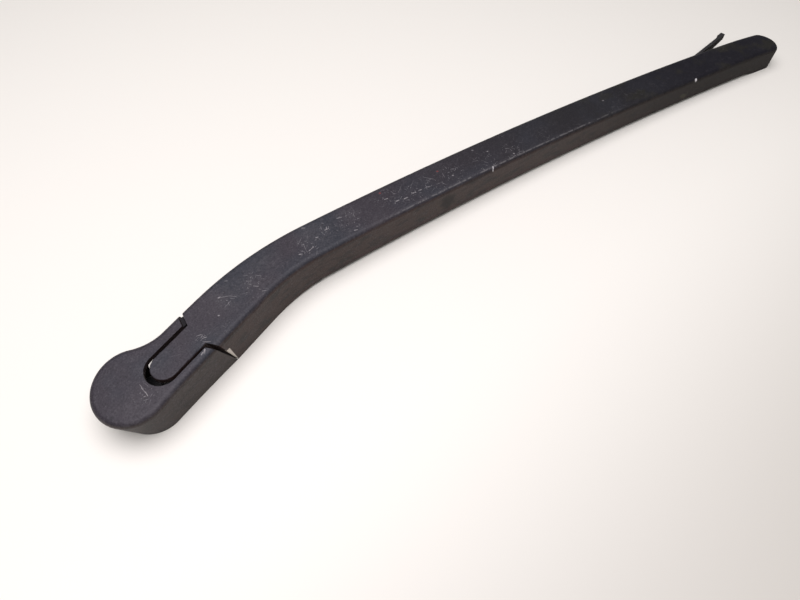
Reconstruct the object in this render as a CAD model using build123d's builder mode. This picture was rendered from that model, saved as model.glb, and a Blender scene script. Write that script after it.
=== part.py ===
from build123d import *
from math import atan2, cos, degrees, radians, sin, sqrt, tan
import os

os.makedirs("parts", exist_ok=True)

# Rear wiper arm. The spindle axis is the Z axis, the lower rims of the head lie at z = 0,
# the tongue runs along +X and the arm bends towards -Y. Millimetres and degrees.

# Driving dimensions of the arm
arm_width = 24.4  # across the arm at its shoulder
bend_width = 21.1  # across the arm at the end of its bend
tip_width = 18.2  # across the arm at its tip
tongue_offset = 5.6  # from the spindle to the tongue's middle line, towards -Y
arm_shift = 0.95  # from there to the arm's middle line, towards +Y
bend_start = 52.0  # from the spindle to the start of the bend
bend_radius = 126.7  # middle line of the bend
bend_angle = 20.7  # turn of the bend
outer_length = 317.8  # chord of the long part past the bend
outer_turn = 8.65  # slow turn of the long part
tip_bulge = 5.0  # height of the round end of the tip
tip_skew = -0.2  # near corner of the tip ahead, far corner back
tip_corner = 5.6  # corner radius of the tip in plan
wall = 2.2  # side walls of both mouldings
roof = 2.4  # top walls of both mouldings
crest_radius = 2.6  # rounding between the top and the sides
seam_limit = 0.25  # edges that turn further away from the X axis cross the top

# Heights of the common top line
rise_height = 19.3  # above the rims, at the end of the head's straight slope
nose_drop = 2.4  # from there down to the nose
ridge_rise = 0.55  # from there up to the ridge
waist_drop = 0.25  # from the ridge
middle_drop = 0.9  # from the waist
end_drop = 4.2  # from the middle
tip_drop = 3.0  # from the end of the long part

# Places of the top line, measured from the spindle
ridge_start = 6.0
ridge_top = 16.0
waist_place = 70.0
middle_place = 118.0
tip_droop = 26.0  # length of the drooping end, measured back from the tip

# Lower rim of the arm
rim_lift = 2.2  # height of the rim between the shoulder and the tip hood
rim_start = 64.0  # where the rim starts to rise
rim_ramp = 30.0  # length of the rise
hood_length = 17.0  # deep end at the tip
hood_ramp = 8.0  # length of the fall towards it

# Head cover
head_radius = 17.1  # round end, seen from above
head_back = 0.4  # from the spindle to the round end's centre, towards -X
head_side = 0.6  # from the spindle to the round end's centre, towards +Y
nose_inset = 6.6  # how far the nose leans in at its rim
side_inset = 0.5  # how far the near side leans in at its rim
waist_radius = 20.0  # hollow side of the cover
notch_gap = 1.4  # between the tongue and the notch
notch_front = 2.8  # in front of the tongue
near_foot = 37.1  # end of the near ear at the rim
far_foot = 40.5  # end of the far ear at the rim
near_skew = 22.0  # turn of the near ear's end, seen from above
far_skew = -25.0  # turn of the far ear's end, seen from above
ear_lean = 19.0  # lean of the ear ends
shoulder_gap = 0.4  # between the ears and the shoulder at the rim
shoulder_lean = 14.5  # lean of the shoulder

# Tongue
tongue_width = 12.2
tongue_end = 7.3  # round end, measured from the spindle
tongue_round = 0.5  # softened upper edge
cheek = 2.2  # side plates of the tongue
cheek_radius = 5.2  # round of the plates about the hinge

# Hinge
hinge_x = 21.0
hinge_diameter = 4.6
hinge_seat = 1.3  # depth of the blind seats in the ears
ear_skirt = 4.0  # block inside the far ear
skirt_wall = 1.6  # of this block in front of the hinge pin
lip_gap = 0.55  # between the end of this block and the shoulder
lip_inset = 0.15  # of this block from the far side
relief_start = 10.2  # where the far rim starts to rise
relief_run = 2.5  # length of its rise
relief_peak = 13.4  # height of the opening in front of the block
running_fit = 0.05  # radial play of a bore that turns on a pin
fixed_fit = 0.01  # radial play of a bore that holds a pin
end_play = 0.05  # at each end of a pin in blind seats
side_play = 0.25  # between the plates and the lug
pin_edge = 0.3  # broken edges of the pins

# Mounting head
hub_radius = 7.6
web_radius = 5.0  # bulge of the hub below the tongue's end
web_x = 6.2
web_y = 1.2
hub_clear = 0.9  # between the hub and the plates of the tongue
hub_edge = 0.8  # broken upper edge of the hub
lug_radius = 4.4
lug_foot = 27.0  # end of the lug at the rim
lug_core = 3.45  # round left around the hinge inside the slot
mouth_diameter = 11.2  # spindle bore at its mouth
mouth_depth = 2.2
stud_diameter = 8.4  # hole for the spindle's thread
stud_depth = 2.0
slot_play = 0.45  # on each side of the link

# Spring train
lever = 7.0  # from the hinge to the link pin
lever_angle = 74.0  # of the lever below the X axis
link_diameter = 3.0
link_thickness = 2.5
link_wall = 1.2  # around the holes of the link
link_play = 0.45  # radial play of the eye about its pin
link_length = 15.0  # from the link pin to the spring hole
link_hole = 2.4  # hole for the spring's hook
spring_diameter = 7.6
wire = 1.3
hook_length = 9.0  # from the link's hole or the anchor to the coil
hook_play = 0.4  # between the hooks' ends and what they hold
coil_length = 34.0
anchor_diameter = 3.0
seat = 1.2  # depth of blind pin seats in the arm

# Tip fittings
blade_diameter = 3.5
blade_setback = 9.5  # from the tip to the blade pin
blade_height = 6.0
tab_setback = 58.0  # from the tip to the tab's pivot
tab_length = 39.0
tab_end = 3.4  # height of the tab's free end
tab_thickness = 1.8
tab_bottom = 3.0
tab_cover = 2.7  # from the arm's top line down to the tab
splay_angle = 15.5  # of the tab from the side wall
tab_nub = 4.5  # length of the thick end
nub_thickness = 1.7  # of the thick end
tab_play = 0.3  # around the tab in its window
tab_pin_diameter = 2.2
barrel = 1.3  # wall of the tab's barrel

# Ribs under the arm
rib_thickness = 1.6
rib_pitch = 32.0
rib_count = 6
rib_start = 26.0  # from the end of the bend to the first rib
rib_rise = 4.0  # from the rim to the ribs' lower edge

# Worked out from the driving dimensions
nose_height = rise_height - nose_drop
ridge_height = rise_height + ridge_rise
waist_height = ridge_height - waist_drop
middle_height = waist_height - middle_drop
end_height = middle_height - end_drop
tip_height = end_height - tip_drop
top_room = 1.5 * ridge_height
axis_y = -tongue_offset
middle_y = axis_y + arm_shift
near_y = middle_y - arm_width / 2
far_y = middle_y + arm_width / 2
head_slope = nose_drop / (ridge_start + head_radius)
bend_centre = Vector(bend_start, middle_y - bend_radius)
outer_radius = outer_length / (2 * sin(radians(outer_turn / 2)))
bend_end = bend_centre + Vector(0, bend_radius).rotate(Axis.Z, -bend_angle)
outer_centre = bend_centre + Vector(0, bend_radius - outer_radius).rotate(Axis.Z, -bend_angle)
tip_heading = -bend_angle - outer_turn
ear_room = far_foot + shoulder_gap + arm_width
middle_plane = Plane.XZ.offset(tongue_offset)
tongue_half = tongue_width / 2
channel_half = tongue_half - cheek
lug_half = channel_half - side_play
notch_half = tongue_half + notch_gap
notch_end = tongue_end - notch_front
hinge_z = ridge_height - roof - cheek_radius
hinge_radius = hinge_diameter / 2
hinge_half = notch_half + hinge_seat
hub_height = hinge_z - cheek_radius - hub_clear
relief_height = hub_height + hub_clear
skirt_start = hinge_x - hinge_radius - skirt_wall
pin_x = hinge_x + lever * cos(radians(lever_angle))
pin_z = hinge_z - lever * sin(radians(lever_angle))
link_radius = link_diameter / 2
eye_radius = link_radius + link_play
slot_half = link_thickness / 2 + slot_play
link_end = pin_x + link_length
coil_start = link_end + hook_length
anchor_x = coil_start + coil_length + hook_length
tab_top = end_height - tab_cover
barrel_radius = tab_pin_diameter / 2 + barrel


def station(back):
    # frame on the long part, measured back from the tip, its X axis along the arm
    heading = tip_heading + degrees(back / outer_radius)
    along = Vector(1, 0).rotate(Axis.Z, heading)
    return Plane(origin=outer_centre + Vector(0, outer_radius).rotate(Axis.Z, heading), x_dir=along)


def half_width(back):
    # half the arm's width at a station
    return (tip_width + (bend_width - tip_width) * back / outer_length) / 2


def bend_circle(side, inset):
    # circle of one side in the bend, between its straight part and the long part
    straight = middle_y + side * (arm_width / 2 - inset)
    end = bend_end + Vector(0, side * (bend_width / 2 - inset)).rotate(Axis.Z, -bend_angle)
    radius = (straight - end.Y) / (1 - cos(radians(bend_angle)))
    return Vector(end.X - radius * sin(radians(bend_angle)), straight - radius), radius


def bend_side(side, along):
    # place of one side at a distance from the spindle inside the bend
    centre, radius = bend_circle(side, 0)
    return centre.Y + sqrt(radius**2 - (along - centre.X) ** 2)


tip_frame = station(0)
tip_point = tip_frame.origin


def below_top_line(drop):
    # face in the XZ plane below the common top line, lowered by drop
    start = (-2 * head_radius, rise_height - head_slope * (ridge_start + 2 * head_radius) - drop)
    end = tip_point.X + arm_width / 2
    with BuildSketch(middle_plane) as face:
        with BuildLine():
            head_line = Line(start, (ridge_start, rise_height - drop))
            ridge = TangentArc(head_line @ 1, (ridge_top, ridge_height - drop), tangent=head_line % 1)
            fall = TangentArc(ridge @ 1, (waist_place, waist_height - drop), tangent=ridge % 1)
            hollow = TangentArc(fall @ 1, (middle_place, middle_height - drop), tangent=fall % 1)
            droop_start = (tip_point.X - tip_droop, end_height - drop)
            back = TangentArc(hollow @ 1, droop_start, tangent=hollow % 1)
            droop = TangentArc(back @ 1, (end, tip_height - drop), tangent=back % 1)
            Polyline(droop @ 1, (end, -top_room), (start[0], -top_room), start)
        make_face()
    return face.sketch


def arm_plan(inset):
    # plan of the arm, each side moved in by inset
    tip_half = tip_width / 2 - inset
    far_corner = tip_frame.from_local_coords(Vector(-inset - tip_bulge - tip_skew, tip_half, 0))
    near_corner = tip_frame.from_local_coords(Vector(-inset - tip_bulge + tip_skew, -tip_half, 0))
    tip_middle = tip_frame.from_local_coords(Vector(-inset, 0, 0))
    with BuildSketch() as plan:
        with BuildLine():
            far_bend = CenterArc(*bend_circle(1, inset), 90, -bend_angle)
            TangentArc(far_bend @ 1, far_corner, tangent=far_bend % 1)
            ThreePointArc(far_corner, tip_middle, near_corner)
            near_bend = CenterArc(*bend_circle(-1, inset), 90, -bend_angle)
            TangentArc(near_bend @ 1, near_corner, tangent=near_bend % 1)
            Polyline(near_bend @ 0, (0, near_y + inset), (0, far_y - inset), far_bend @ 0)
        make_face()
        fillet(plan.vertices().sort_by(Axis.X)[-2:], tip_corner - inset)
    return plan.sketch


def cover_plan(radius, centre, inset, height):
    # plan of the head cover around one nose circle, each side moved in by inset
    nose = radius - inset
    side = far_y - inset
    hollow = waist_radius + inset
    rise = side + hollow - centre.Y
    along = sqrt((nose + hollow) ** 2 - rise**2)
    turn = Vector(along, rise) / (nose + hollow)
    start_angle = degrees(atan2(rise, along))
    with BuildSketch(Plane.XY.offset(height)) as plan:
        with BuildLine():
            round_nose = CenterArc(centre, nose, start_angle, 270 - start_angle)
            near = TangentArc(round_nose @ 1, (near_foot, near_y + inset), tangent=(1, 0))
            far = Polyline(near @ 1, (ear_room, near_y + inset), (ear_room, side), (centre.X + along, side))
            TangentArc(far @ 1, centre + turn * nose, tangent=(-1, 0))
        make_face()
    return plan.sketch


def tongue_plan(half, end, length):
    # plan of a strip along the tongue with a round end
    with BuildSketch() as plan:
        with BuildLine():
            far = Line((length, axis_y + half), (end + half, axis_y + half))
            ThreePointArc(far @ 1, (end, axis_y), (end + half, axis_y - half))
            Polyline((end + half, axis_y - half), (length, axis_y - half), far @ 0)
        make_face()
    return plan.sketch


def arm_solid(inset, drop):
    # solid below the top line, inside the arm's plan
    with BuildPart() as solid:
        extrude(arm_plan(inset), amount=top_room)
        extrude(below_top_line(drop), amount=2 * outer_length, both=True, mode=Mode.INTERSECT)
    return solid.part


def cover_solid(inset, drop):
    # solid below the top line, inside the head cover's leaning outline
    low_radius = head_radius - (nose_inset + side_inset) / 2
    low_shift = Vector((nose_inset - side_inset) / 2, side_inset - head_radius + low_radius)
    growth = top_room / nose_height
    high_radius = low_radius + (head_radius - low_radius) * growth
    head_centre = Vector(-head_back, head_side)
    low_plan = cover_plan(low_radius, head_centre + low_shift, inset, 0)
    high_plan = cover_plan(high_radius, head_centre + low_shift * (1 - growth), inset, top_room)
    with BuildPart() as solid:
        loft([low_plan, high_plan], ruled=True)
        extrude(below_top_line(drop), amount=2 * outer_length, both=True, mode=Mode.INTERSECT)
    return solid.part


def half_block(side, start, foot, lean, reach):
    # everything past a leaning end on one side of the tongue's middle
    turn = near_skew if side < 0 else far_skew
    frame = Plane(
        origin=(start + foot, near_y if side < 0 else far_y, 0),
        x_dir=Vector(1, 0).rotate(Axis.Z, turn),
        z_dir=Vector(0, -1).rotate(Axis.Z, turn),
    )
    slip = top_room * tan(radians(lean))
    with BuildPart() as block:
        with BuildSketch(frame):
            with BuildLine():
                end = Line((slip, -top_room), (-slip, top_room))
                Polyline(end @ 1, (reach, top_room), (reach, -top_room), end @ 0)
            make_face()
        extrude(amount=ear_room, both=True)
        with BuildSketch(Plane.XY.offset(-top_room)):
            with Locations((0, axis_y + side * ear_room)):
                Rectangle(4 * ear_room, 2 * ear_room)
        extrude(amount=2 * top_room, mode=Mode.INTERSECT)
    return block.part


def leaning_block(foot, lean, reach):
    # everything past both leaning ends, foot is measured from the ears' ends at the rim
    with BuildPart() as block:
        add(half_block(-1, near_foot, foot, lean, reach))
        add(half_block(1, far_foot, foot, lean, reach))
    return block.part


def cross_pin(frame, height, diameter, half):
    # pin across the arm
    with BuildPart(Plane(frame.location * Location((0, 0, height), (90, 0, 0)))) as pin:
        Cylinder(diameter / 2, 2 * half)
        chamfer(pin.edges().filter_by(GeomType.CIRCLE), pin_edge)
    return pin.part


def pin_seat(frame, height, diameter, half):
    # space that such a pin takes up in the walls
    with BuildPart(Plane(frame.location * Location((0, 0, height), (90, 0, 0)))) as space:
        Cylinder(diameter / 2 + fixed_fit, 2 * (half + end_play))
    return space.part


def runs_along(edge):
    # upper edges that follow the outline, not the seams across the top
    return abs((edge % 0.5).X) > seam_limit and edge.center().Z > tip_height / 2


# Places of the pins across the arm
anchor_far = bend_side(1, anchor_x)
anchor_near = bend_side(-1, anchor_x)
anchor_frame = Plane(origin=(anchor_x, (anchor_far + anchor_near) / 2, 0))
anchor_half = (anchor_far - anchor_near) / 2 - wall + seat
blade_frame = station(blade_setback)
blade_half = half_width(blade_setback) - wall + seat

# Frame of the release tab, its X axis along the tab
tab_station = station(tab_setback)
tab_pivot = tab_station.location * Location((0, half_width(tab_setback) - barrel_radius, 0))
tab_frame = Plane(tab_pivot * Location((0, 0, 0), (0, 0, splay_angle)))
window_frame = Plane(tab_pivot)

# Space inside the arm, behind the shoulder wall
with BuildPart() as arm_hollow:
    add(arm_solid(wall, roof))
    add(leaning_block(shoulder_gap + wall, shoulder_lean, -ear_room), mode=Mode.SUBTRACT)

# Cross ribs, let into the walls and the roof
with BuildPart() as ribs:
    for rib in range(rib_count):
        with BuildSketch(station(outer_length - rib_start - rib * rib_pitch).offset(rim_lift + rib_rise)):
            Rectangle(rib_thickness, arm_width)
    extrude(amount=top_room)
    add(arm_solid(wall / 2, roof / 2), mode=Mode.INTERSECT)

# Boss that carries the tab's pin under the roof
with BuildPart() as tab_boss:
    with BuildSketch(window_frame.offset(tab_top + tab_play)):
        Circle(barrel_radius)
    extrude(amount=top_room)
    add(arm_solid(wall / 2, roof / 2), mode=Mode.INTERSECT)

# Tongue with its two side plates
with BuildPart() as under_tongue:
    extrude(below_top_line(roof), amount=tongue_width, both=True)
    with BuildSketch(middle_plane):
        with Locations((hinge_x, hinge_z)):
            Circle(cheek_radius)
            Rectangle(bend_start, top_room, align=(Align.MIN, Align.MIN))
            Rectangle(2 * cheek_radius, top_room, align=(Align.CENTER, Align.MIN))
        with Locations((hinge_x, hinge_z - cheek_radius)):
            Rectangle(bend_start, top_room, align=(Align.MIN, Align.MIN))
    extrude(amount=tongue_width, both=True, mode=Mode.SUBTRACT)

with BuildPart() as tongue:
    extrude(tongue_plan(tongue_half, tongue_end, bend_start), amount=top_room)
    extrude(below_top_line(0), amount=tongue_width, both=True, mode=Mode.INTERSECT)
    fillet(tongue.edges().filter_by(runs_along), tongue_round)
    add(under_tongue.part, mode=Mode.SUBTRACT)

# Passage for the lug, the link and the spring
with BuildPart() as channel:
    extrude(tongue_plan(channel_half, -head_radius, bend_start), amount=top_room)
    extrude(below_top_line(roof), amount=tongue_width, both=True, mode=Mode.INTERSECT)

with BuildPart() as arm_beam:
    add(arm_solid(0, 0))
    fillet(arm_beam.edges().filter_by(runs_along), crest_radius)
    add(arm_hollow.part, mode=Mode.SUBTRACT)
    add(leaning_block(shoulder_gap, shoulder_lean, -ear_room), mode=Mode.SUBTRACT)
    # lower rim: up behind the shoulder, down again at the tip
    with BuildSketch(middle_plane):
        with BuildLine():
            Polyline((rim_start, 0), (rim_start + rim_ramp, rim_lift), (bend_end.X + rim_ramp, rim_lift),
                     (bend_end.X + rim_ramp, 0), close=True)
        make_face()
    extrude(amount=outer_length, both=True, mode=Mode.SUBTRACT)
    with BuildSketch(Plane(tip_frame.location * Location((0, 0, 0), (90, 0, 0)))):
        with BuildLine():
            Polyline((-hood_length, 0), (-hood_length - hood_ramp, rim_lift), (-outer_length, rim_lift),
                     (-outer_length, 0), close=True)
        make_face()
    extrude(amount=2 * arm_width, both=True, mode=Mode.SUBTRACT)
    add(ribs.part)
    # window and boss for the tab
    with BuildSketch(window_frame):
        Circle(barrel_radius + tab_play)
        with Locations((0, barrel_radius - wall - tab_play)):
            Rectangle(tab_length + tab_play, 2 * wall, align=(Align.MIN, Align.MIN))
    extrude(amount=tab_top + tab_play, mode=Mode.SUBTRACT)
    add(tab_boss.part)
    with BuildSketch(window_frame.offset(tab_top)):
        Circle(tab_pin_diameter / 2 + fixed_fit)
    extrude(amount=tab_play + seat + end_play, mode=Mode.SUBTRACT)
    # tongue, passage and pin seats
    add(tongue.part)
    add(channel.part, mode=Mode.SUBTRACT)
    with BuildSketch(middle_plane):
        with Locations((hinge_x, hinge_z)):
            Circle(hinge_radius + running_fit)
    extrude(amount=tongue_width, both=True, mode=Mode.SUBTRACT)
    add(pin_seat(anchor_frame, pin_z, anchor_diameter, anchor_half), mode=Mode.SUBTRACT)
    add(pin_seat(blade_frame, blade_height, blade_diameter, blade_half), mode=Mode.SUBTRACT)
arm_beam.part.label = "arm_beam"
export_step(arm_beam.part, "parts/arm_beam.step")

# Block inside the far ear that carries the end of the hinge pin and closes the far gap
with BuildPart() as far_skirt:
    with BuildSketch(Plane.XY.offset(relief_height)):
        with Locations((skirt_start, axis_y + notch_half)):
            Rectangle(far_foot, ear_skirt, align=(Align.MIN, Align.MIN))
    extrude(amount=top_room)
    add(cover_solid(lip_inset, roof / 2), mode=Mode.INTERSECT)
    add(leaning_block(shoulder_gap - lip_gap, shoulder_lean, 2 * ear_room), mode=Mode.SUBTRACT)

with BuildPart() as head_cover:
    add(cover_solid(0, 0))
    fillet(head_cover.edges().filter_by(runs_along), crest_radius)
    add(cover_solid(wall, roof), mode=Mode.SUBTRACT)
    add(leaning_block(0, ear_lean, 2 * ear_room), mode=Mode.SUBTRACT)
    # raised rim on the far side, with an opening in front of the block
    with BuildSketch(Plane.XZ):
        with BuildLine():
            Polyline((relief_start, 0), (relief_start + relief_run, relief_peak), (skirt_start, relief_peak),
                     (skirt_start, relief_height), (ear_room, relief_height), (ear_room, 0), close=True)
        make_face()
    extrude(amount=-2 * head_radius, mode=Mode.SUBTRACT)
    add(far_skirt.part)
    extrude(tongue_plan(notch_half, notch_end, ear_room), amount=top_room, mode=Mode.SUBTRACT)
    with BuildSketch(middle_plane):
        with Locations((hinge_x, hinge_z)):
            Circle(hinge_radius + running_fit)
    extrude(amount=hinge_half + end_play, both=True, mode=Mode.SUBTRACT)
head_cover.part.label = "head_cover"
export_step(head_cover.part, "parts/head_cover.step")

# Casting on the spindle: round hub, lug for the hinge, slot for the link
with BuildPart() as mounting_head:
    with BuildSketch():
        Circle(hub_radius)
        with Locations((web_x, web_y)):
            Circle(web_radius)
        with Locations((0, axis_y)):
            Rectangle(hinge_x, 2 * lug_half, align=(Align.MIN, Align.CENTER))
    extrude(amount=hub_height)
    chamfer(mounting_head.faces().sort_by(Axis.Z)[-1].outer_wire().edges(), hub_edge)
    with BuildSketch(middle_plane):
        with BuildLine():
            Polyline((hinge_x - lug_radius, hinge_z), (hinge_x + lug_radius, hinge_z), (lug_foot, 0),
                     (hinge_x - lug_radius - hub_edge, 0), close=True)
        make_face()
        with Locations((hinge_x, hinge_z)):
            Circle(lug_radius)
    extrude(amount=lug_half, both=True)
    with BuildSketch(middle_plane):
        slot_front = pin_x - eye_radius - link_wall - slot_play
        with Locations((slot_front, 0)):
            Rectangle(lug_foot, top_room, align=(Align.MIN, Align.MIN))
        with Locations((hinge_x, hinge_z)):
            Circle(lug_core, mode=Mode.SUBTRACT)
    extrude(amount=slot_half, both=True, mode=Mode.SUBTRACT)
    with BuildSketch(middle_plane):
        with Locations((hinge_x, hinge_z)):
            Circle(hinge_radius + fixed_fit)
        with Locations((pin_x, pin_z)):
            Circle(link_radius + fixed_fit)
    extrude(amount=lug_half, both=True, mode=Mode.SUBTRACT)
    with BuildSketch(Plane.XZ):
        with BuildLine():
            Polyline((0, 0), (mouth_diameter / 2, 0), (mouth_diameter / 2, mouth_depth),
                     (stud_diameter / 2, hub_height - stud_depth), (stud_diameter / 2, hub_height),
                     (0, hub_height), close=True)
        make_face()
    revolve(axis=Axis.Z, mode=Mode.SUBTRACT)
mounting_head.part.label = "mounting_head"
export_step(mounting_head.part, "parts/mounting_head.step")

# Pins across the head and the arm
hinge_frame = Plane(origin=(hinge_x, axis_y, 0))
link_frame = Plane(origin=(pin_x, axis_y, 0))
pins = {
    "hinge_pin": cross_pin(hinge_frame, hinge_z, hinge_diameter, hinge_half),
    "link_pin": cross_pin(link_frame, pin_z, link_diameter, lug_half),
    "spring_anchor": cross_pin(anchor_frame, pin_z, anchor_diameter, anchor_half),
    "blade_pin": cross_pin(blade_frame, blade_height, blade_diameter, blade_half),
}
for name, pin in pins.items():
    pin.label = name
    export_step(pin, f"parts/{name}.step")

# Flat link from the casting to the spring
with BuildPart() as spring_link:
    with BuildSketch(middle_plane):
        with Locations((pin_x, pin_z)):
            Circle(eye_radius + link_wall)
            Rectangle(link_length, link_hole + 2 * link_wall, align=(Align.MIN, Align.CENTER))
        with Locations((link_end, pin_z)):
            Circle(link_hole / 2 + link_wall)
            Circle(link_hole / 2, mode=Mode.SUBTRACT)
        with Locations((pin_x, pin_z)):
            Circle(eye_radius, mode=Mode.SUBTRACT)
    extrude(amount=link_thickness / 2, both=True)
spring_link.part.label = "spring_link"
export_step(spring_link.part, "parts/spring_link.step")

# Tension spring, a closed coil with straight hooks
link_side = link_end + link_hole / 2 + link_wall + hook_play
anchor_side = anchor_x - anchor_diameter / 2 - hook_play
with BuildPart() as tension_spring:
    with BuildSketch(Plane(origin=(coil_start, axis_y, pin_z), z_dir=(1, 0, 0))):
        Circle(spring_diameter / 2)
        Circle(spring_diameter / 2 - wire, mode=Mode.SUBTRACT)
    extrude(amount=coil_length)
    for end in (coil_start, coil_start + coil_length - wire):
        with BuildSketch(Plane(origin=(end, axis_y, pin_z), z_dir=(1, 0, 0))):
            Circle(spring_diameter / 2)
        extrude(amount=wire)
    for start, end in ((link_side, coil_start), (coil_start + coil_length, anchor_side)):
        with BuildSketch(Plane(origin=(start, axis_y, pin_z), z_dir=(1, 0, 0))):
            Circle(wire / 2)
        extrude(amount=end - start)
tension_spring.part.label = "tension_spring"
export_step(tension_spring.part, "parts/tension_spring.step")

# Release tab, standing out of its window
with BuildPart() as release_tab:
    with BuildSketch(tab_frame.offset(tab_bottom)):
        Circle(barrel_radius)
        with Locations((0, barrel_radius)):
            Rectangle(tab_length, tab_thickness, align=(Align.MIN, Align.MAX))
        with Locations((tab_length, barrel_radius)):
            Rectangle(tab_nub, nub_thickness, align=(Align.MAX, Align.CENTER))
        Circle(tab_pin_diameter / 2 + running_fit, mode=Mode.SUBTRACT)
    extrude(amount=tab_top - tab_bottom)
    # lower edge, rising towards the free end
    with BuildSketch(Plane(tab_frame.location * Location((0, 0, 0), (90, 0, 0)))):
        with BuildLine():
            Polyline((barrel_radius, tab_bottom), (tab_length, tab_top - tab_end), (tab_length, 0),
                     (barrel_radius, 0), close=True)
        make_face()
    extrude(amount=tab_length, both=True, mode=Mode.SUBTRACT)
release_tab.part.label = "release_tab"
export_step(release_tab.part, "parts/release_tab.step")

with BuildPart() as tab_pin:
    with BuildSketch(window_frame.offset(tab_bottom)):
        Circle(tab_pin_diameter / 2)
    extrude(amount=tab_top + tab_play + seat - tab_bottom)
tab_pin.part.label = "tab_pin"
export_step(tab_pin.part, "parts/tab_pin.step")
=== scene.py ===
import math

import bpy
import numpy as np
from mathutils import Matrix, Vector


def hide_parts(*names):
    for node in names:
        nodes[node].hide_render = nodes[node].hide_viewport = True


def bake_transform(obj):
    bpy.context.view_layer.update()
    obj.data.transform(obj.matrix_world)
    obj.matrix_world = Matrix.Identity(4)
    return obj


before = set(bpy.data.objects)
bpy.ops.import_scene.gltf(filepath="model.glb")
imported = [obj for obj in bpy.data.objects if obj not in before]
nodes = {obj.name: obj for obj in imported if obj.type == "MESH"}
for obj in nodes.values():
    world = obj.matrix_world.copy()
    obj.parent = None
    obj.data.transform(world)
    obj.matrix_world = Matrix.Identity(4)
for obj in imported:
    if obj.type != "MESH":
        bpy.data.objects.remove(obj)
scene = bpy.context.scene
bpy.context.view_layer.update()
millimetre = 0.001
print("frame loaded,", len(nodes), "nodes")


class Value:
    # one socket of a node tree; arithmetic on it adds Math nodes
    def __init__(self, shader, socket):
        self.shader = shader
        self.socket = socket

    def math(self, operation, *values):
        return self.shader.node("ShaderNodeMath", {"operation": operation}, dict(enumerate(values)))

    def __add__(self, other):
        return self.math("ADD", self, other)

    __radd__ = __add__

    def __sub__(self, other):
        return self.math("SUBTRACT", self, other)

    def __rsub__(self, other):
        return self.math("SUBTRACT", other, self)

    def __mul__(self, other):
        return self.math("MULTIPLY", self, other)

    def __truediv__(self, other):
        return self.math("DIVIDE", self, other)

    def least(self, other):
        return self.math("MINIMUM", self, other)

    def most(self, other):
        return self.math("MAXIMUM", self, other)

    def size(self):
        return self.math("ABSOLUTE", self)

    def ramp(self, low, high):
        # 0 at low, 1 at high, smooth between; low may be the larger one
        sockets = {0: self, 1: low, 2: high, 3: 0.0, 4: 1.0}
        settings = {"interpolation_type": "SMOOTHSTEP", "clamp": True}
        return self.shader.node("ShaderNodeMapRange", settings, sockets)


class Shader:
    # a new material whose nodes are added by one method
    def __init__(self, name):
        self.material = bpy.data.materials.new(name)
        self.material.use_nodes = True
        self.tree = self.material.node_tree
        self.tree.nodes.clear()
        self.output = self.tree.nodes.new("ShaderNodeOutputMaterial")

    def node(self, kind, settings=None, sockets=None, out=0):
        made = self.tree.nodes.new(kind)
        for key, value in (settings or {}).items():
            setattr(made, key, value)
        for key, value in (sockets or {}).items():
            if isinstance(value, Value):
                self.tree.links.new(value.socket, made.inputs[key])
            else:
                made.inputs[key].default_value = value
        return Value(self, made.outputs[out])

    def place(self, scale=(1.0, 1.0, 1.0)):
        # Object coordinates in millimetres, times scale
        raw = self.node("ShaderNodeTexCoord", out="Object")
        sockets = {"Vector": raw, "Scale": [1000.0 * s for s in scale]}
        return self.node("ShaderNodeMapping", {"vector_type": "POINT"}, sockets)

    def parts(self, vector):
        first = self.node("ShaderNodeSeparateXYZ", {}, {0: vector})
        outs = first.socket.node.outputs
        return [Value(self, outs[i]) for i in range(3)]

    def noise(self, vector, scale, detail, rough):
        # about 0.5 on average
        sockets = {"Vector": vector, "Scale": scale, "Detail": detail, "Roughness": rough}
        return self.node("ShaderNodeTexNoise", {"noise_dimensions": "3D"}, sockets)

    def mix(self, amount, first, second):
        sockets = {0: amount, 6: first, 7: second}
        return self.node("ShaderNodeMix", {"data_type": "RGBA"}, sockets, out=2)

    def vector(self, operation, *values, scale=None, out=0):
        sockets = dict(enumerate(values))
        if scale is not None:
            sockets["Scale"] = scale
        return self.node("ShaderNodeVectorMath", {"operation": operation}, sockets, out=out)

    def distance(self, vector, point):
        return self.vector("LENGTH", self.vector("SUBTRACT", vector, point), out=1)

    def bump(self, height, strength, distance):
        sockets = {"Height": height, "Strength": strength, "Distance": distance}
        return self.node("ShaderNodeBump", {}, sockets)

    def surface(self, **sockets):
        named = {key.replace("_", " "): value for key, value in sockets.items()}
        shown = self.node("ShaderNodeBsdfPrincipled", {}, named)
        self.tree.links.new(shown.socket, self.output.inputs["Surface"])
        return self.material


def rgb(red, green, blue):
    return (red, green, blue, 1.0)


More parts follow.
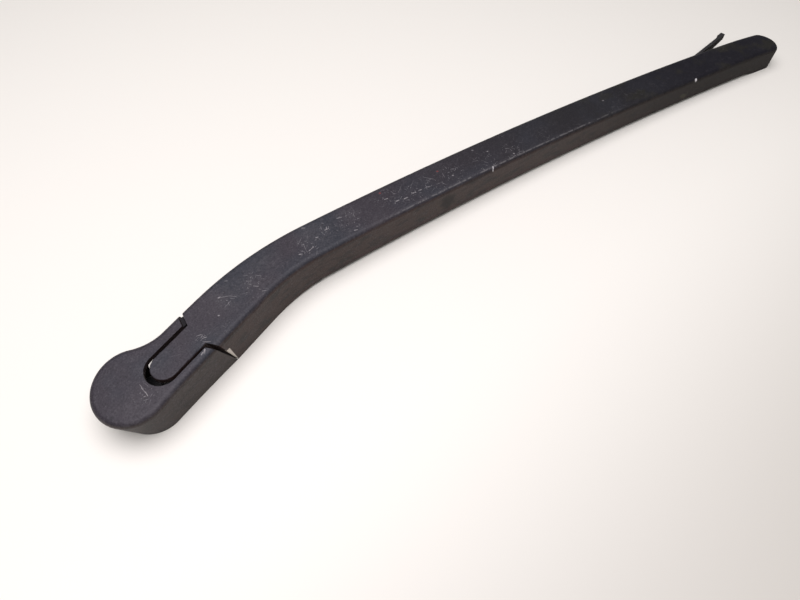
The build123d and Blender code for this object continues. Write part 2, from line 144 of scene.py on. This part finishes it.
# black moulded plastic, satin with fine grain, dusty towards the head, scuffed on top; painted shade
# darkens the top towards the tip and along the near crest
# scuffs, chips and red: (x0, y0, x1, y1, half width); dusty and groups: (x, y, reach); in millimetres
plasticLook = {
    "arm": {
        "base": rgb(0.0330, 0.0275, 0.0345), "tip": rgb(0.0115, 0.0110, 0.0130),
        "cool": rgb(0.0235, 0.0260, 0.0340), "side": rgb(0.0390, 0.0205, 0.0165),
        "dust": rgb(0.078, 0.073, 0.078), "end": rgb(0.0040, 0.0036, 0.0078),
        "olive": rgb(0.0150, 0.0140, 0.0085), "roughness": 0.52, "index": 1.40,
        "scuffs": (
            (49.2, -0.9, 52.5, -4.1, 0.08), (52.5, -4.1, 53.7, -7.0, 0.07),
            (49.0, -0.8, 49.4, -1.0, 0.40), (42.4, -7.0, 42.6, -7.2, 0.35),
            (57.0, 3.2, 57.8, 2.2, 0.18), (62.2, -4.6, 63.4, -6.4, 0.12),
            (62.0, -9.0, 63.0, -10.8, 0.15), (62.0, -13.8, 63.2, -15.0, 0.12),
            (90.6, -16.6, 93.6, -16.8, 0.20), (30.2, -6.5, 31.8, -7.6, 0.12),
            (30.6, -9.2, 32.0, -10.1, 0.14), (30.3, -11.6, 31.4, -13.0, 0.12),
            (31.9, -8.0, 30.4, -8.6, 0.10), (29.6, -10.4, 30.4, -11.4, 0.10),
            (86.6, -14.2, 87.1, -14.8, 0.30), (104.4, -14.8, 106.0, -15.6, 0.22),
            (105.2, -15.2, 106.4, -14.2, 0.22), (98.5, -14.3, 99.4, -14.9, 0.25),
            (112.0, -26.2, 113.2, -27.2, 0.25), (113.4, -15.0, 115.2, -16.4, 0.22),
            (99.4, -5.2, 100.2, -6.3, 0.22), (136.2, -26.6, 137.4, -27.4, 0.30),
            (138.3, -31.9, 139.6, -32.5, 0.35), (141.9, -34.2, 143.5, -35.0, 0.35),
            (147.3, -35.5, 148.6, -36.2, 0.35), (150.3, -37.0, 151.6, -37.6, 0.35),
            (155.3, -39.6, 156.8, -40.3, 0.35), (168.8, -45.2, 169.0, -45.4, 0.45),
            (190.3, -44.1, 190.5, -44.3, 0.45), (194.0, -50.9, 194.2, -51.1, 0.35),
            (200.3, -62.9, 200.5, -63.1, 0.40), (266.9, -83.9, 267.1, -84.1, 0.50),
        ),
        "chips": (
            (316.5, -120.9, 317.0, -121.1, 0.60), (186.0, -58.7, 185.4, -59.2, 0.30),
            (185.0, -59.4, 184.8, -59.6, 0.28),
        ),
        "red": ((166.9, -37.3, 167.1, -37.5, 0.45), (138.2, -22.2, 138.4, -22.4, 0.45)),
        "dusty": (
            (50.0, -2.0, 12.0), (62.0, -6.0, 12.0), (74.0, -4.0, 10.0),
            (100.0, -12.0, 12.0), (118.0, -18.0, 10.0),
        ),
        "groups": (
            (31.0, -9.6, 5.0), (51.0, -4.0, 6.0), (62.6, -8.0, 10.0), (93.0, -15.0, 10.0),
            (105.0, -15.0, 9.0), (116.0, -21.0, 9.0), (138.0, -28.0, 9.0), (147.0, -35.0, 10.0),
            (158.0, -40.0, 10.0), (170.0, -45.0, 10.0), (187.0, -55.0, 11.0), (202.0, -62.0, 9.0),
        ),
    },
    "cover": {
        "base": rgb(0.0310, 0.0260, 0.0330), "tip": rgb(0.0310, 0.0260, 0.0330),
        "cool": rgb(0.0230, 0.0260, 0.0345), "side": rgb(0.0320, 0.0205, 0.0175),
        "dust": rgb(0.080, 0.074, 0.080), "roughness": 0.50, "index": 1.40,
        "scuffs": (
            (1.7, -4.4, 0.9, -8.6, 0.14), (2.3, -2.9, 1.9, -4.6, 0.09),
            (1.3, -7.2, 0.7, -9.0, 0.20), (0.2, -8.4, -0.4, -8.0, 0.14),
            (27.4, -13.7, 26.2, -14.5, 0.40), (26.0, -13.9, 24.9, -14.2, 0.25),
        ),
        "chips": (), "red": (),
        "dusty": ((-6.0, -7.0, 11.0), (-2.0, -12.0, 8.0), (6.0, -13.0, 8.0)),
        "groups": ((1.0, -7.0, 6.0), (27.0, -14.0, 3.0)),
    },
    "tab": {
        "base": rgb(0.0300, 0.0290, 0.0290), "tip": rgb(0.0300, 0.0290, 0.0290),
        "cool": rgb(0.0300, 0.0300, 0.0300), "side": rgb(0.0045, 0.0040, 0.0038),
        "dust": rgb(0.060, 0.056, 0.056), "roughness": 0.55, "index": 1.32,
        "scuffs": (), "chips": (), "red": (), "dusty": (), "groups": (),
    },
}

# wear and painted shade that the three plastics share; a pair is where a mask is 0 and where it is 1
wearAndShadeLook = {
    "colour": {
        "wallTip": rgb(0.0080, 0.0045, 0.0028), "soil": rgb(0.0060, 0.0050, 0.0045),
        "haze": rgb(0.044, 0.035, 0.030), "pits": rgb(0.006, 0.0055, 0.0065),
        "worn": rgb(0.27, 0.26, 0.26), "scuffs": rgb(0.30, 0.285, 0.28),
        "chips": rgb(0.70, 0.69, 0.68), "red": rgb(0.20, 0.035, 0.03),
        "crestShade": rgb(0.006, 0.005, 0.005), "rubbed": rgb(0.21, 0.20, 0.195),
    },
    # the most that is mixed in
    "amount": {
        "olive": 0.7, "soil": 0.7, "haze": 0.35, "dust": 0.42, "speck": 0.55, "pits": 0.55,
        "cluster": 0.35, "worn": 0.72, "scuffs": 0.75, "red": 0.9, "crestShade": 0.45, "rubbed": 0.40,
    },
    # the share that is lost towards the tip
    "fade": {"cool": 0.6, "haze": 0.7, "dust": 0.8, "speck": 0.6},
    # along X, in millimetres
    "run": {
        "far": (85.0, 270.0), "end": (255.0, 330.0), "olive": (225.0, 290.0), "wall": (180.0, 330.0),
        "crestShade": (140.0, 200.0), "rubStart": (110.0, 150.0), "rubEnd": (280.0, 235.0),
        "dull": (200.0, 330.0),
    },
    # scale per millimetre, detail, roughness
    "noise": {
        "grain": (3.2, 2.0, 0.6), "mottle": (0.42, 4.0, 0.65), "fine": (1.3, 3.0, 0.65),
        "cloud": (0.055, 4.0, 0.6), "drift": (0.030, 2.0, 0.5), "blotch": (0.085, 3.0, 0.55),
        "streak": (1.0, 4.0, 0.65), "cluster": (0.045, 2.0, 0.5), "patchy": (0.45, 3.0, 0.6),
    },
    # in a noise's value
    "band": {
        "cool": (0.45, 0.65), "olive": (0.50, 0.66), "soil": (0.52, 0.36), "haze": (0.54, 0.70),
        "dust": (0.45, 0.72), "speck": (0.48, 0.70), "pits": (0.50, 0.30), "cluster": (0.52, 0.66),
        "crestShade": (0.46, 0.62), "rubbed": (0.38, 0.56),
    },
    # in the mottle's value, which breaks up a mask
    "broken": {
        "dust": (0.35, 0.7), "dusty": (0.25, 0.65), "speck": (0.30, 0.62), "worn": (0.32, 0.56),
        "scuffs": (0.28, 0.52),
    },
    # in the normal's Z, and in its Y for near
    "facing": {
        "top": (0.55, 0.95), "wall": (0.6, 0.2), "wallTone": (0.75, 0.25), "chips": (0.15, 0.4),
        "near": (-0.05, -0.35),
    },
    # the normal's Z along the middle of an edge line, and how far the line spreads from it
    "crest": {"crestShade": (0.52, (0.30, 0.06)), "rubbed": (0.86, (0.10, 0.03))},
    "roughness": {"grain": 0.14, "mottle": 0.12, "dust": 0.10, "crestShade": 0.2, "dull": 0.18},
    "height": {"grain": 0.25, "fine": 0.45, "mottle": 0.5, "worn": 0.3},
    # strength, metres
    "bump": (0.35, 0.00035),
    # cells per millimetre, length, half width, share of the cells
    "strokes": ((0.80, 0.40, 0.13, 0.24), (0.40, 1.1, 0.11, 0.40), (0.16, 2.8, 0.11, 0.65)),
    "streakStretch": (0.10, 0.10, 0.35), "dustRagged": 12.0, "groupRagged": 8.0, "groupCore": 0.35,
}

# edge and core as shares of a mark's width; the others are for random ones
markShape = {
    "edge": 1.3, "core": 0.3, "fullTurn": 6.2832, "shortest": 0.4, "tail": 0.7, "spine": 0.4,
    "chance": (1.0, 1.02),
}


def strokes(shader, flat, marks):
    # 1 on a straight scuff from (x0, y0) to (x1, y1), 0 beyond its edge
    total = None
    for x0, y0, x1, y1, width in marks:
        run = Vector((x1 - x0, y1 - y0, 0.0))
        away = shader.vector("SUBTRACT", flat, (x0, y0, 0.0))
        along = shader.vector("DOT_PRODUCT", away, tuple(run), out=1) / run.length_squared
        foot = shader.vector("SCALE", tuple(run), scale=along.most(0.0).least(1.0))
        mark = shader.distance(away, foot).ramp(width * markShape["edge"], width * markShape["core"])
        total = mark if total is None else total.most(mark)
    return total


def randomScuffs(shader, flat, scale, length, width, share):
    # one short stroke per cell, at a random angle; only a share of the cells has one
    sockets = {"Vector": flat, "Scale": scale, "Randomness": 1.0}
    cell = shader.node("ShaderNodeTexVoronoi", {"voronoi_dimensions": "2D"}, sockets, out="Position")
    chance, turn, spread = shader.parts(Value(shader, cell.socket.node.outputs["Color"]))
    sockets = {"Vector": shader.vector("SUBTRACT", flat, cell), "Angle": turn * markShape["fullTurn"]}
    turned = shader.node("ShaderNodeVectorRotate", {"rotation_type": "Z_AXIS"}, sockets)
    along, across = shader.parts(turned)[:2]
    reach = (spread + markShape["shortest"]) * length
    stroke = along.size().ramp(reach, reach * markShape["tail"])
    stroke = stroke * across.size().ramp(width, width * markShape["spine"])
    low, high = markShape["chance"]
    return stroke * chance.ramp(low - share, high - share)


def plasticMaterial(name, look):
    tint, amount, fade = wearAndShadeLook["colour"], wearAndShadeLook["amount"], wearAndShadeLook["fade"]
    band, broken, facing = wearAndShadeLook["band"], wearAndShadeLook["broken"], wearAndShadeLook["facing"]
    shader = Shader(name)
    spot = shader.place()
    x = shader.parts(spot)[0]
    side, lift = shader.parts(shader.node("ShaderNodeTexCoord", out="Normal"))[1:]
    flat = shader.vector("MULTIPLY", spot, (1.0, 1.0, 0.0))

    def field(key):
        return shader.noise(spot, *wearAndShadeLook["noise"][key])

    def run(key):
        return x.ramp(*wearAndShadeLook["run"][key])

    def crest(key):
        middle, spread = wearAndShadeLook["crest"][key]
        return (lift - middle).size().ramp(*spread) * near * patchy.ramp(*band[key])

    grain, mottle, fine = field("grain"), field("mottle"), field("fine")
    cloud, drift, patchy = field("cloud"), field("drift"), field("patchy")
    top, wall = lift.ramp(*facing["top"]), lift.ramp(*facing["wall"])
    near = side.ramp(*facing["near"])
    far = run("far")

    # tone of the top, painted darker towards the tip as painted shade where the lamp's sheen falls off,
    # then of the walls
    colour = shader.mix(far, look["base"], look["tip"])
    colour = shader.mix(drift.ramp(*band["cool"]) * (1.0 - far * fade["cool"]), colour, look["cool"])
    # painted shade: the top at the tip is painted darker still
    if "end" in look:
        colour = shader.mix(run("end"), colour, look["end"])
        olive = field("blotch").ramp(*band["olive"]) * run("olive")
        colour = shader.mix(olive * amount["olive"], colour, look["olive"])
    # the walls' warm brown is partly painted bounce light from the table and partly dust; it is painted
    # darker towards the tip as painted shade
    wallTone = shader.mix(run("wall"), look["side"], tint["wallTip"])
    colour = shader.mix(lift.ramp(*facing["wallTone"]), colour, wallTone)
    streak = shader.noise(shader.place(wearAndShadeLook["streakStretch"]), *wearAndShadeLook["noise"]["streak"])
    colour = shader.mix(streak.ramp(*band["soil"]) * wall * amount["soil"], colour, tint["soil"])
    haze = streak.ramp(*band["haze"]) * wall * amount["haze"] * (1.0 - far * fade["haze"])
    colour = shader.mix(haze, colour, tint["haze"])

    # dust and pits
    dust = cloud.ramp(*band["dust"]) * mottle.ramp(*broken["dust"]) * (1.0 - far * fade["dust"])
    for px, py, reach in look["dusty"]:
        away = shader.distance(flat, (px, py, 0.0)) + (cloud - 0.5) * wearAndShadeLook["dustRagged"]
        dust = dust.most(away.ramp(reach, 0.0) * mottle.ramp(*broken["dusty"]))
    colour = shader.mix(dust * amount["dust"], colour, look["dust"])
    speck = fine.ramp(*band["speck"]) * mottle.ramp(*broken["speck"])
    colour = shader.mix(speck * amount["speck"] * (1.0 - far * fade["speck"]), colour, look["dust"])
    colour = shader.mix(fine.ramp(*band["pits"]) * amount["pits"], colour, tint["pits"])

    # scuffs in groups, then the single marks
    groups = field("cluster").ramp(*band["cluster"]) * amount["cluster"]
    for px, py, reach in look["groups"]:
        away = shader.distance(flat, (px, py, 0.0)) + (drift - 0.5) * wearAndShadeLook["groupRagged"]
        groups = groups.most(away.ramp(reach, reach * wearAndShadeLook["groupCore"]))
    tiny, small, large = [randomScuffs(shader, flat, *settings) for settings in wearAndShadeLook["strokes"]]
    worn = tiny.most(small).most(large) * groups * top
    colour = shader.mix(worn * mottle.ramp(*broken["worn"]) * amount["worn"], colour, tint["worn"])
    if look["scuffs"]:
        marks = strokes(shader, flat, look["scuffs"]) * top * mottle.ramp(*broken["scuffs"])
        colour = shader.mix(marks * amount["scuffs"], colour, tint["scuffs"])
        worn = worn.most(marks)
    if look["chips"]:
        chips = strokes(shader, flat, look["chips"]) * lift.ramp(*facing["chips"])
        colour = shader.mix(chips, colour, tint["chips"])
    if look["red"]:
        red = strokes(shader, flat, look["red"]) * top
        colour = shader.mix(red * amount["red"], colour, tint["red"])

    # the near edge: a painted shade band along the middle of its crest, rubbed pale above
    crestShade = crest("crestShade") * run("crestShade")
    colour = shader.mix(crestShade * amount["crestShade"], colour, tint["crestShade"])
    rubbed = crest("rubbed") * run("rubStart") * run("rubEnd")
    colour = shader.mix(rubbed * amount["rubbed"], colour, tint["rubbed"])

    part = wearAndShadeLook["roughness"]
    roughness = look["roughness"] + (grain - 0.5) * part["grain"] + (mottle - 0.5) * part["mottle"]
    roughness = roughness + dust * part["dust"] + crestShade * part["crestShade"] + run("dull") * wall * part["dull"]
    part = wearAndShadeLook["height"]
    height = grain * part["grain"] + fine * part["fine"] + mottle * part["mottle"] - worn * part["worn"]
    return shader, colour, roughness, shader.bump(height, *wearAndShadeLook["bump"])


def plainPlastic(name, look):
    shader, colour, roughness, normal = plasticMaterial(name, look)
    return shader.surface(Base_Color=colour, Roughness=roughness, Normal=normal, IOR=look["index"])


def planeGap(x, y, z, look):
    # distance to the leaning plane that meets z = 0 at the foot
    footX, footY = look["foot"]
    leanX, leanY, leanZ = look["lean"]
    return (x - footX) * leanX + (y - footY) * leanY + z * leanZ


# painted light: a pale wedge where the near ear meets the shoulder, standing for the lit table seen
# through the gap, widest under the crest, on the wall's skin only
wedgeLook = {
    "colour": rgb(0.58, 0.53, 0.47), "arm": 0.13, "cover": 0.04, "least": 0.15, "soft": 0.08,
    "foot": (37.5, -16.85), "lean": (0.927, 0.375, 0.2586), "shift": 0.2, "high": (12.2, 11.9),
    "skin": (-15.75, -16.15),
}


def wedge(x, y, z, spread):
    # distance to the gap's middle plane against a width that grows with z
    look = wedgeLook
    gap = (planeGap(x, y, z, look) + look["shift"]).size()
    inside = (z * spread + look["least"] - gap).ramp(-look["soft"], look["soft"])
    return inside * z.ramp(*look["high"]) * y.ramp(*look["skin"])


# the lip beyond the far ear's end is painted near-black as painted shade of the deep gap
lipLook = {
    "colour": rgb(0.004, 0.0038, 0.004), "amount": 0.85, "dull": 0.3, "soft": 0.2,
    "foot": (40.5, 7.55), "lean": (0.906, -0.423, 0.344), "side": (0.0, 1.5),
}


def coverPlastic(name, look):
    shader, colour, roughness, normal = plasticMaterial(name, look)
    x, y, z = shader.parts(shader.place())
    # painted shade on the lip beyond the far ear's end
    lip = planeGap(x, y, z, lipLook).ramp(-lipLook["soft"], lipLook["soft"]) * y.ramp(*lipLook["side"])
    colour = shader.mix(lip * lipLook["amount"], colour, lipLook["colour"])
    # painted light: the lit table seen through the gap at the near ear
    colour = shader.mix(wedge(x, y, z, wedgeLook["cover"]), colour, wedgeLook["colour"])
    roughness = roughness + lip * lipLook["dull"]
    return shader.surface(Base_Color=colour, Roughness=roughness, Normal=normal, IOR=look["index"])


# a dark stain and an olive smear on the arm's near wall
stainLook = {
    "noise": (0.30, 3.0, 0.6),
    "stain": {
        "at": (158.7, -48.7, 9.5), "ragged": 7.0, "reach": (6.0, 2.5), "amount": 1.0,
        "colour": rgb(0.006, 0.002, 0.001),
    },
    "smear": {
        "at": (311.5, -119.0, 6.2), "ragged": 9.0, "reach": (3.0, 1.0), "amount": 0.6,
        "colour": rgb(0.050, 0.048, 0.026),
    },
}


def armPlastic(name, look):
    shader, colour, roughness, normal = plasticMaterial(name, look)
    spot = shader.place()
    x, y, z = shader.parts(spot)
    # painted light: the lit table seen through the gap at the shoulder
    colour = shader.mix(wedge(x, y, z, wedgeLook["arm"]), colour, wedgeLook["colour"])
    ragged = shader.noise(spot, *stainLook["noise"]) - 0.5
    for key in ("stain", "smear"):
        mark = stainLook[key]
        away = shader.distance(spot, mark["at"]) + ragged * mark["ragged"]
        colour = shader.mix(away.ramp(*mark["reach"]) * mark["amount"], colour, mark["colour"])
    return shader.surface(Base_Color=colour, Roughness=roughness, Normal=normal, IOR=look["index"])


# cast metal under a black coating that is chipped in places
castLook = {
    "coat": rgb(0.016, 0.016, 0.017), "worn": rgb(0.05, 0.048, 0.045), "bare": rgb(0.20, 0.20, 0.205),
    "skin": (1.3, 4.0, 0.62), "wornBand": (0.4, 0.75), "wornAmount": 0.3,
    "chips": (0.35, 5.0, 0.7), "chipBand": (0.66, 0.70), "chipAmount": 0.6, "chipDepth": 0.5,
    "roughness": 0.46, "roughSpread": 0.3, "bump": (0.4, 0.00025),
}


def castMaterial(name, look):
    shader = Shader(name)
    spot = shader.place()
    skin = shader.noise(spot, *look["skin"])
    chips = shader.noise(spot, *look["chips"]).ramp(*look["chipBand"])
    bare = chips * look["chipAmount"]
    colour = shader.mix(skin.ramp(*look["wornBand"]) * look["wornAmount"], look["coat"], look["worn"])
    colour = shader.mix(bare, colour, look["bare"])
    roughness = look["roughness"] + (skin - 0.5) * look["roughSpread"]
    normal = shader.bump(skin - chips * look["chipDepth"], *look["bump"])
    return shader.surface(Base_Color=colour, Roughness=roughness, Metallic=bare, Normal=normal)


# bare metal: turned pins, drawn wire, pressed strip
metalLook = {
    "pin": {
        "base": rgb(0.50, 0.50, 0.51), "dark": rgb(0.28, 0.27, 0.26), "roughness": 0.32,
        "stretch": (3.0, 0.6, 3.0),
    },
    "spring": {
        "base": rgb(0.30, 0.29, 0.28), "dark": rgb(0.11, 0.10, 0.09), "roughness": 0.38,
        "stretch": (2.0, 2.0, 2.0),
    },
    "link": {
        "base": rgb(0.32, 0.31, 0.30), "dark": rgb(0.13, 0.12, 0.11), "roughness": 0.40,
        "stretch": (0.4, 3.0, 3.0),
    },
}

# what the bare metals share
tarnishLook = {
    "grain": (1.0, 4.0, 0.6), "tarnish": (0.25, 5.0, 0.65), "band": (0.42, 0.7),
    "grainRough": 0.25, "tarnishRough": 0.15, "bump": (0.35, 0.0001),
}


def metalMaterial(name, look):
    shader = Shader(name)
    grain = shader.noise(shader.place(look["stretch"]), *tarnishLook["grain"])
    tarnish = shader.noise(shader.place(), *tarnishLook["tarnish"]).ramp(*tarnishLook["band"])
    colour = shader.mix(tarnish, look["base"], look["dark"])
    roughness = look["roughness"] + (grain - 0.5) * tarnishLook["grainRough"]
    roughness = roughness + tarnish * tarnishLook["tarnishRough"]
    normal = shader.bump(grain, *tarnishLook["bump"])
    return shader.surface(Base_Color=colour, Roughness=roughness, Metallic=1.0, Normal=normal)


def dress(name, material):
    slots = nodes[name].data.materials
    slots.clear()
    slots.append(material)


pinMetal = metalMaterial("pinMetal", metalLook["pin"])
springMetal = metalMaterial("springMetal", metalLook["spring"])
dress("arm_beam", armPlastic("armPlastic", plasticLook["arm"]))
dress("head_cover", coverPlastic("coverPlastic", plasticLook["cover"]))
dress("release_tab", plainPlastic("tabPlastic", plasticLook["tab"]))
dress("mounting_head", castMaterial("castMetal", castLook))
for pin in ("hinge_pin", "link_pin", "spring_anchor", "blade_pin", "tab_pin"):
    dress(pin, pinMetal)
dress("spring_link", metalMaterial("linkMetal", metalLook["link"]))
print("materials done")

# wound wire spring with an open loop at each end, in millimetres
springShape = {
    "y": -5.6, "z": 5.521, "coil": (47.58, 80.28), "radius": 3.15, "turns": 24.25, "wire": 0.65,
    "loop": 2.3, "hole": 40.78, "pin": 89.93, "sides": 12, "step": 28,
    "frontArc": (-0.7, -1.5 * math.pi), "backArc": (0.5 * math.pi, -0.8 * math.pi), "arcStep": 30,
    "frontPull": 9.0, "backPull": 11.0, "coilPull": 12, "bridgeStep": 14,
}


def hermite(start, startWay, end, endWay, count):
    # p(t) = h00 start + h10 startWay + h01 end + h11 endWay, cubic
    t = np.linspace(0.0, 1.0, count)[1:-1, None]
    first = (2 * t**3 - 3 * t**2 + 1) * start + (t**3 - 2 * t**2 + t) * startWay
    return first + (-2 * t**3 + 3 * t**2) * end + (t**3 - t**2) * endWay


def springPath(look):
    # loop through the link's hole in XY, coil about X, loop round the anchor in XZ
    middle = np.array([0.0, look["y"], look["z"]])
    ahead = np.array([1.0, 0.0, 0.0])
    loop, radius = look["loop"], look["radius"]
    angle = np.linspace(*look["frontArc"], look["arcStep"])
    front = middle + np.stack([look["hole"] + loop * np.cos(angle), loop * np.sin(angle), 0 * angle], 1)
    turn = np.linspace(0.0, 2 * math.pi * look["turns"], int(look["turns"] * look["step"]))
    run = np.linspace(*look["coil"], len(turn))
    coil = middle + np.stack([run, radius * np.cos(turn), radius * np.sin(turn)], 1)
    angle = np.linspace(*look["backArc"], look["arcStep"])
    back = middle + np.stack([look["pin"] + loop * np.cos(angle), 0 * angle, loop * np.sin(angle)], 1)
    coilStart = (coil[1] - coil[0]) * look["coilPull"]
    coilEnd = (coil[-1] - coil[-2]) * look["coilPull"]
    bridge = hermite(front[-1], ahead * look["frontPull"], coil[0], coilStart, look["bridgeStep"])
    other = hermite(coil[-1], coilEnd, back[0], ahead * look["backPull"], look["bridgeStep"])
    return np.concatenate([front, bridge, coil, other, back])


def addSpring():
    # a circle of the wire's radius carried along the path without twist
    look = springShape
    path = springPath(look)
    way = np.gradient(path, axis=0)
    way /= np.linalg.norm(way, axis=1)[:, None]
    up = np.array([0.0, 0.0, 1.0])
    frames = []
    for direction in way:
        up = up - direction * (up @ direction)
        up = up / np.linalg.norm(up)
        frames.append(up)
    frames = np.array(frames)
    other = np.cross(way, frames)
    sides = look["sides"]
    angle = np.linspace(0.0, 2 * math.pi, sides, endpoint=False)
    ring = frames[:, None] * np.cos(angle)[None, :, None] + other[:, None] * np.sin(angle)[None, :, None]
    points = (path[:, None] + look["wire"] * ring).reshape(-1, 3) * millimetre
    rows = len(path)
    i, j = np.meshgrid(np.arange(rows - 1) * sides, np.arange(sides), indexing="ij")
    k = (j + 1) % sides
    quads = np.stack([i + j, i + k, i + sides + k, i + sides + j], -1).reshape(-1, 4)
    faces = quads.tolist() + [list(range(sides))[::-1], list(range((rows - 1) * sides, rows * sides))]
    mesh = bpy.data.meshes.new("woundSpring")
    mesh.from_pydata(points.tolist(), [], faces)
    mesh.polygons.foreach_set("use_smooth", np.ones(len(mesh.polygons), bool))
    mesh.materials.append(springMetal)
    spring = bpy.data.objects.new("woundSpring", mesh)
    scene.collection.objects.link(spring)
    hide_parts("tension_spring")
    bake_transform(spring)


addSpring()
print("spring done")

# table, light and camera
tableLook = {
    "colour": rgb(0.87, 0.86, 0.77), "shade": rgb(0.60, 0.585, 0.515), "roughness": 0.55,
    "slope": (-0.35, -1.0), "falloff": (60.0, 230.0), "reach": 3.0,
}


def addTable():
    # one flat square at z = 0, with painted shade falling off across it towards -Y
    reach = tableLook["reach"]
    corners = np.array([(-1, -1, 0), (1, -1, 0), (1, 1, 0), (-1, 1, 0)], float) * reach
    mesh = bpy.data.meshes.new("table")
    mesh.from_pydata(corners.tolist(), [], [(0, 1, 2, 3)])
    table = bpy.data.objects.new("table", mesh)
    scene.collection.objects.link(table)
    shader = Shader("tableTop")
    x, y = shader.parts(shader.place())[:2]
    slopeX, slopeY = tableLook["slope"]
    falloff = (y * slopeY + x * slopeX).ramp(*tableLook["falloff"])
    colour = shader.mix(falloff, tableLook["colour"], tableLook["shade"])
    mesh.materials.append(shader.surface(Base_Color=colour, Roughness=tableLook["roughness"]))


addTable()

lampLook = {
    "at": (0.0, -0.03, 0.75), "to": (0.0, -0.03, 0.0), "size": 1.0, "power": 8.7,
    "colour": (1.0, 0.955, 1.03),
}


def addLamp():
    data = bpy.data.lights.new("key", "AREA")
    data.shape = "DISK"
    data.size = lampLook["size"]
    data.energy = lampLook["power"]
    data.color = lampLook["colour"]
    down = Vector(lampLook["to"]) - Vector(lampLook["at"])
    turn = down.to_track_quat("-Z", "Y").to_matrix().to_4x4()
    made = bpy.data.objects.new("key", data)
    made.matrix_world = Matrix.Translation(lampLook["at"]) @ turn
    scene.collection.objects.link(made)


addLamp()

worldLook = {"colour": rgb(1.0, 0.98, 0.96), "strength": 0.15}
world = bpy.data.worlds.new("studio")
world.use_nodes = True
background = world.node_tree.nodes["Background"]
background.inputs["Color"].default_value = worldLook["colour"]
background.inputs["Strength"].default_value = worldLook["strength"]
scene.world = world
scene.view_settings.view_transform = "Standard"

view = {
    "at": (-0.0274809, -0.1442399, 0.2306915),
    "forward": (0.4652, 0.3093, -0.8294),
    "up": (0.6907, 0.4592, 0.5586),
    "lens": 27.0,
    "sensor": 36.0,
    "clip": 0.01,
}


def addCamera():
    data = bpy.data.cameras.new("camera")
    data.sensor_fit = "HORIZONTAL"
    data.sensor_width = view["sensor"]
    data.lens = view["lens"]
    data.clip_start = view["clip"]
    back = -Vector(view["forward"]).normalized()
    right = Vector(view["up"]).cross(back).normalized()
    up = back.cross(right)
    made = bpy.data.objects.new("camera", data)
    turn = Matrix((right, up, back)).transposed().to_4x4()
    made.matrix_world = Matrix.Translation(view["at"]) @ turn
    scene.collection.objects.link(made)
    scene.camera = made


addCamera()
print("stage done")
